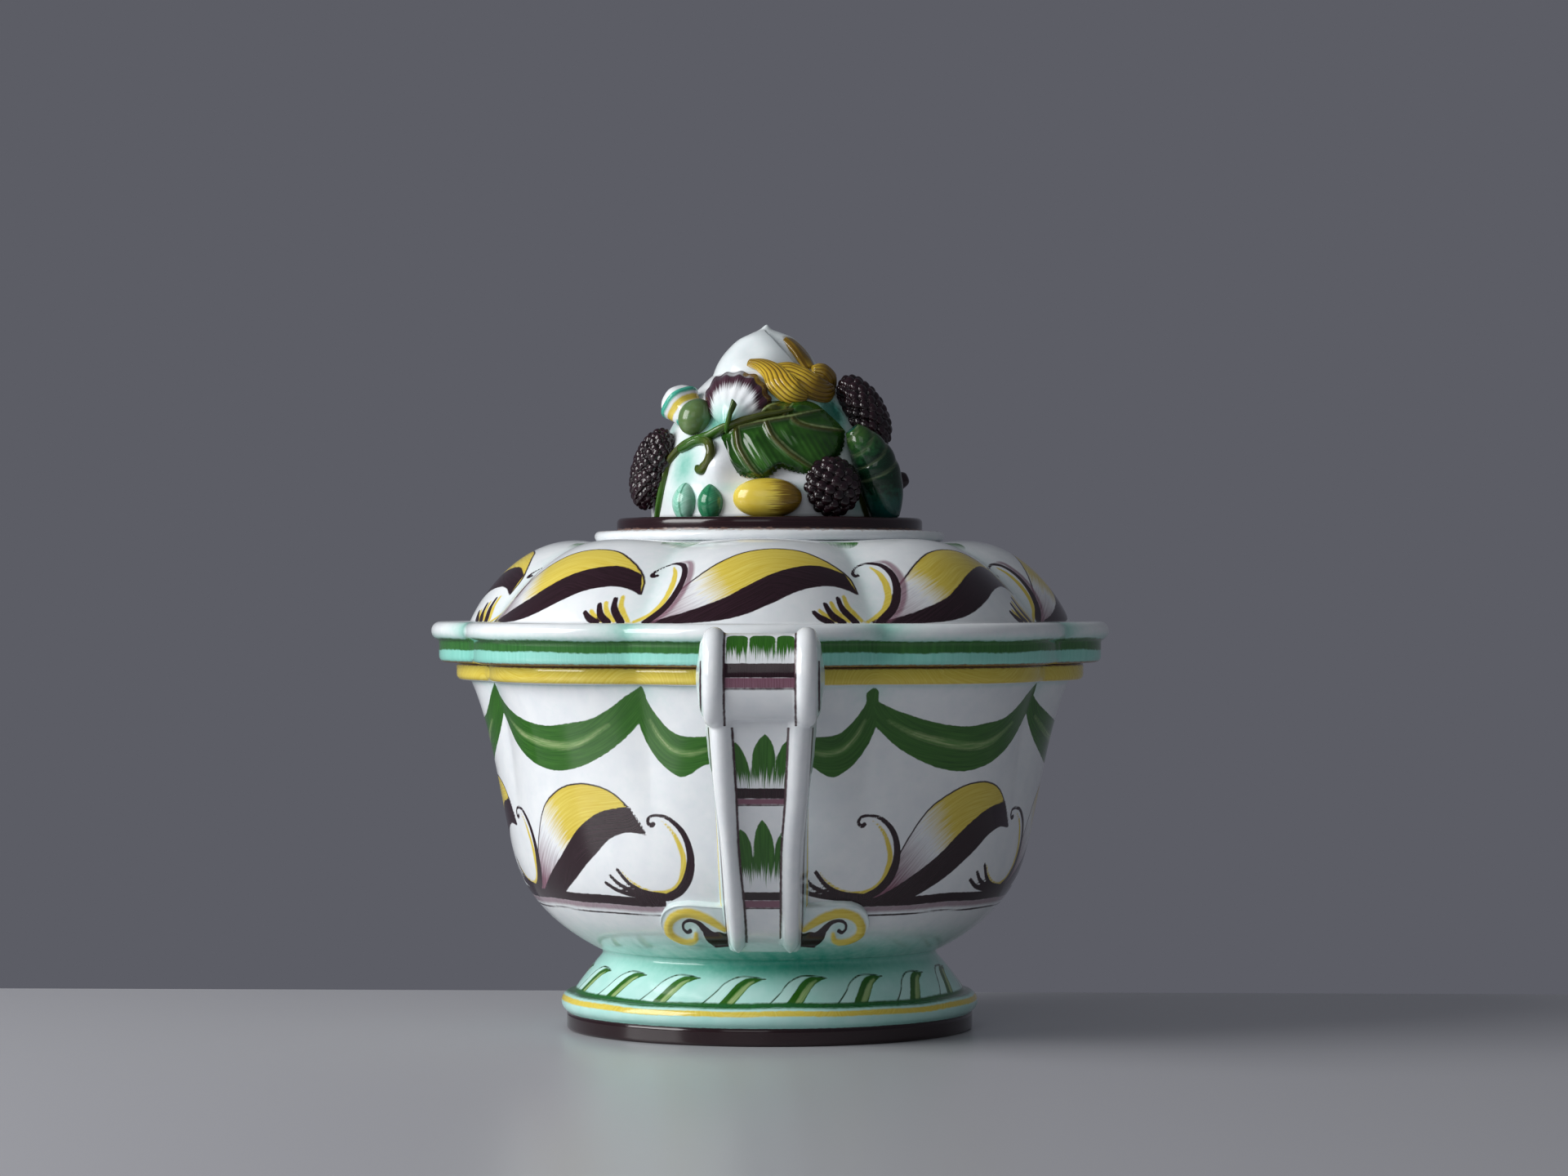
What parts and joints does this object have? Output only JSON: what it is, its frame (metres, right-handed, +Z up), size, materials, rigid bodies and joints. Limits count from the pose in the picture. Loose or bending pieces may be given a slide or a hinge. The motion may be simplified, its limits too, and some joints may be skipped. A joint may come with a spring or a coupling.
{
  "type": "tureen",
  "caption": "Footed, lobed earthenware tureen with two strap handles and a lift-off domed lid crowned by modelled fruit and flowers.",
  "frame": {"origin": "on the table, under the centre of the round foot", "axes": "+Z up, -Y towards the front handle and +Y towards the rear handle, +X to the right seen from the front"},
  "size_m": [0.3214, 0.3968, 0.3333],
  "materials": {
    "white_glaze": "glossy white tin glaze on earthenware",
    "mint_glaze": "glossy pale green glaze that pools darker in hollows",
    "yellow_glaze": "glossy yellow enamel on tin glaze, brushed on",
    "maroon_glaze": "glossy manganese brown-black enamel",
    "green_glaze": "glossy copper green enamel, brushed on",
    "emerald_glaze": "glossy bluish green glaze that runs to white"
  },
  "bodies": {
    "vessel": {"foot": "mint_glaze", "bowl": "white_glaze", "handle_front_scroll": "white_glaze", "handle_front_strap": "white_glaze", "handle_front_bead_left": "white_glaze", "handle_front_rail_left": "white_glaze", "handle_front_foot_scroll_left": "mint_glaze", "handle_front_bead_right": "white_glaze", "handle_front_rail_right": "white_glaze", "handle_front_foot_scroll_right": "mint_glaze", "handle_rear_scroll": "white_glaze", "handle_rear_strap": "white_glaze", "handle_rear_bead_left": "white_glaze", "handle_rear_rail_left": "white_glaze", "handle_rear_foot_scroll_left": "mint_glaze", "handle_rear_bead_right": "white_glaze", "handle_rear_rail_right": "white_glaze", "handle_rear_foot_scroll_right": "mint_glaze"},
    "lid": {"lid_shell": "white_glaze", "finial_plinth": "maroon_glaze", "finial_mound": "white_glaze", "finial_leaf_front": "green_glaze", "finial_stem_front": "green_glaze", "finial_shell_flower_front": "white_glaze", "finial_nut_front": "yellow_glaze", "finial_olive_front": "green_glaze", "finial_almond_outer_front": "emerald_glaze", "finial_almond_inner_front": "emerald_glaze", "finial_berry_front": "maroon_glaze", "finial_leaf_rear": "green_glaze", "finial_stem_rear": "green_glaze", "finial_shell_flower_rear": "white_glaze", "finial_nut_rear": "yellow_glaze", "finial_olive_rear": "green_glaze", "finial_almond_outer_rear": "emerald_glaze", "finial_almond_inner_rear": "emerald_glaze", "finial_berry_rear": "maroon_glaze", "finial_tendril_front": "green_glaze", "finial_twig_front": "green_glaze", "finial_tuft_lower": "yellow_glaze", "finial_tuft_upper": "yellow_glaze", "finial_bloom": "white_glaze", "finial_pod_right": "green_glaze", "finial_fig_right": "maroon_glaze", "finial_bell_flower_left": "mint_glaze", "finial_berry_left": "maroon_glaze", "finial_berry_right": "maroon_glaze"}
  },
  "joints": [
    {"name": "lid_lift", "type": "slide", "parent": "vessel", "child": "lid", "axis": [0, 0, 1], "range_m": [0, 0.15]}
  ]
}
